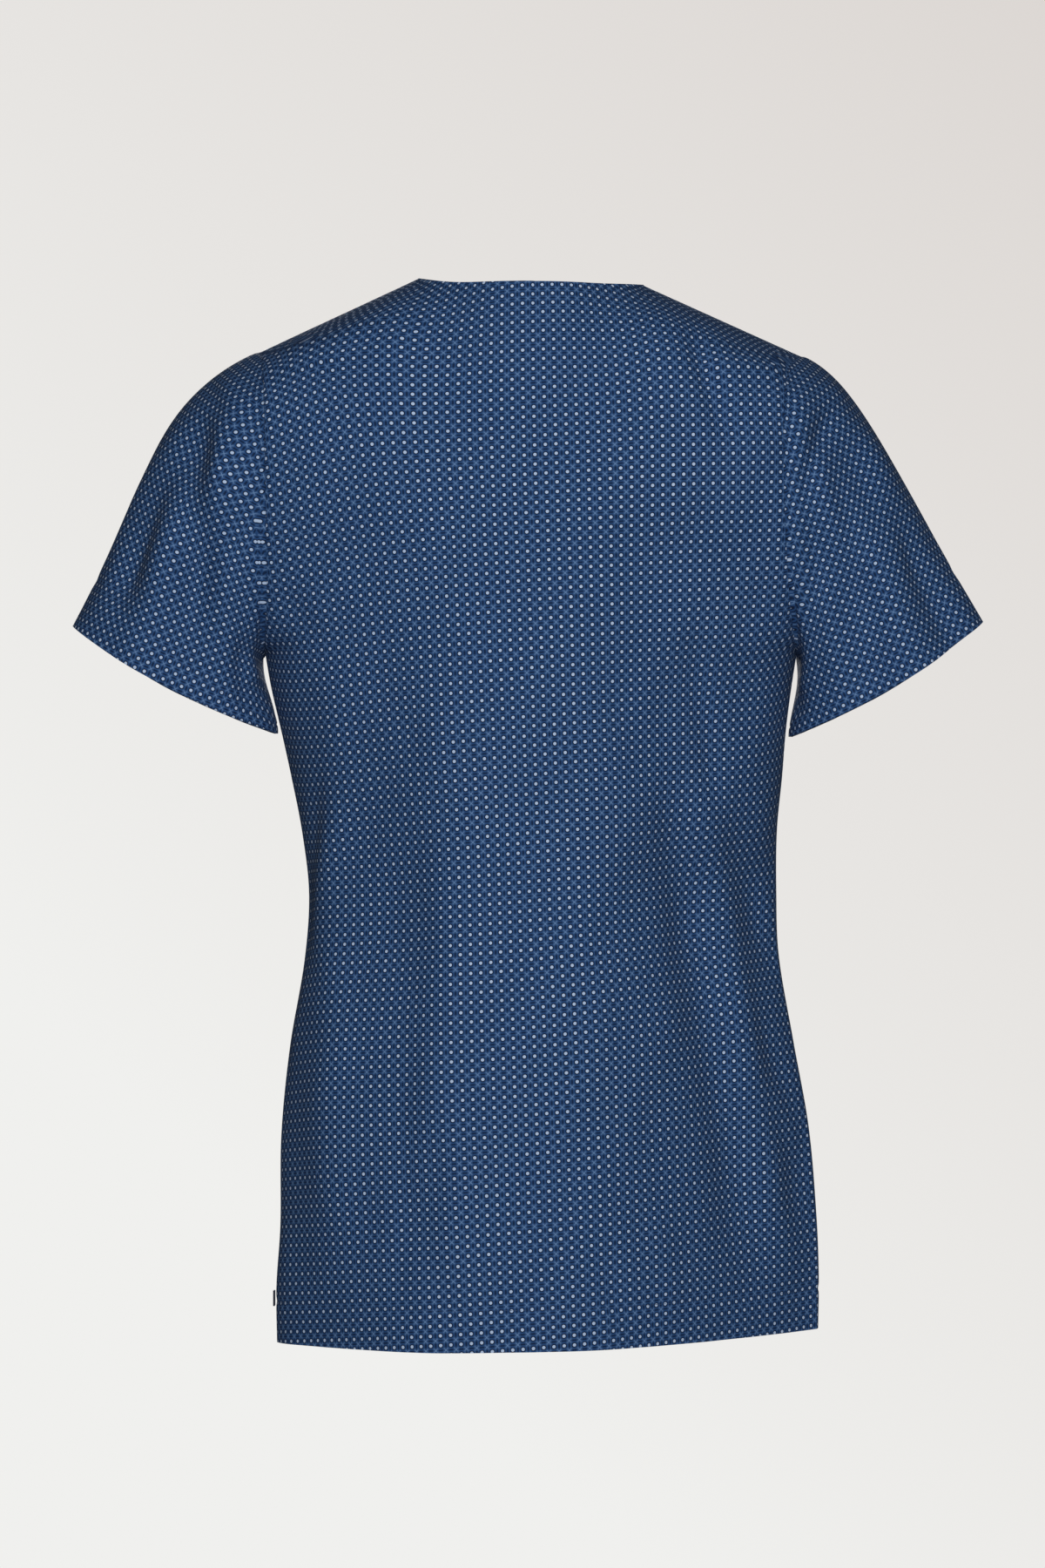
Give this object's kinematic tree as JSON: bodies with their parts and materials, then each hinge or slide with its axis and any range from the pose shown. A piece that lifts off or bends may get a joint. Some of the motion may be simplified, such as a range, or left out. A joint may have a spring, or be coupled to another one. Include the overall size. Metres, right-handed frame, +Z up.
{
  "type": "medical scrubs top",
  "caption": "Short-sleeved tunic top for clinical work, worn form held open: one-piece back, V-neck front, set-in flared sleeves, turned hems, small navy dot print",
  "frame": {"origin": "on the shoulder line, midway between the two neck points, where the wearer's shoulders hold the top up", "axes": "+X to the wearer's left, +Y out of the back, +Z up; the garment faces -Y"},
  "size_m": [0.5968, 0.2388, 0.6949],
  "materials": {
    "printed_cloth": "woven poly-cotton with a small printed dot and star repeat",
    "dark_tape": "plain woven tape"
  },
  "bodies": {
    "root": {"back_panel": "printed_cloth", "front_panel": "printed_cloth", "sleeve_left": "printed_cloth", "sleeve_right": "printed_cloth", "side_tab": "dark_tape"}
  },
  "joints": []
}
